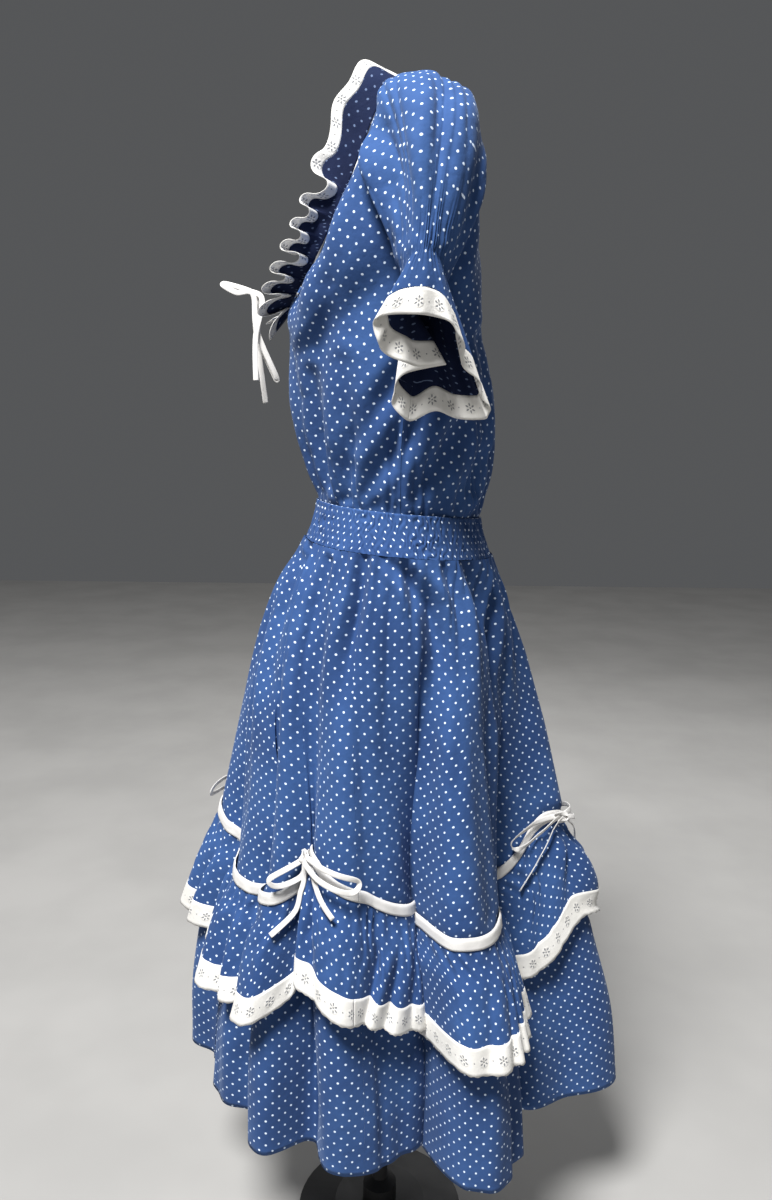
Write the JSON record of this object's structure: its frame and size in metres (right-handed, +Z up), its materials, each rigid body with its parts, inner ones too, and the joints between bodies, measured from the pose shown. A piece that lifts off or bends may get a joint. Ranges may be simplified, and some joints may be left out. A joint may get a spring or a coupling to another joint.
{
  "type": "square dance blouse and skirt set on a dress form",
  "caption": "Polka dot puff-sleeved blouse with ruffled neck over a full skirt with a swagged, lace-edged flounce and tape bows, on a limbless dress form.",
  "frame": {"origin": "middle of the underside of the stand's base", "axes": "+Z up; -Y the way the wearer would face; +X the wearer's left"},
  "size_m": [0.4828, 0.5646, 1.3897],
  "materials": {
    "dotted_cotton": "blue cotton with white pin dots, soft crumpled weave",
    "white_lace": "cotton eyelet lace with small flower eyelets",
    "white_tape": "white twill tape",
    "form_jersey": "black jersey cover",
    "stand_metal": "black painted metal"
  },
  "bodies": {
    "root": {"skirt_front": "dotted_cotton", "skirt_back": "dotted_cotton", "waistband_front": "dotted_cotton", "waistband_back": "dotted_cotton", "flounce_front": "dotted_cotton", "flounce_back": "dotted_cotton", "flounce_lace_front": "white_lace", "flounce_lace_back": "white_lace", "flounce_tape_front": "white_tape", "flounce_tape_back": "white_tape", "bow_front": "white_tape", "bow_left": "white_tape", "bow_back": "white_tape", "bow_right": "white_tape", "bodice_front": "dotted_cotton", "bodice_back": "dotted_cotton", "sleeve_left": "dotted_cotton", "sleeve_right": "dotted_cotton", "sleeve_lace_left": "white_lace", "sleeve_lace_right": "white_lace", "neck_ruffle": "dotted_cotton", "neck_lace": "white_lace", "neck_tie": "white_tape", "form_torso": "form_jersey", "form_pole": "stand_metal", "form_base": "stand_metal"}
  },
  "joints": []
}
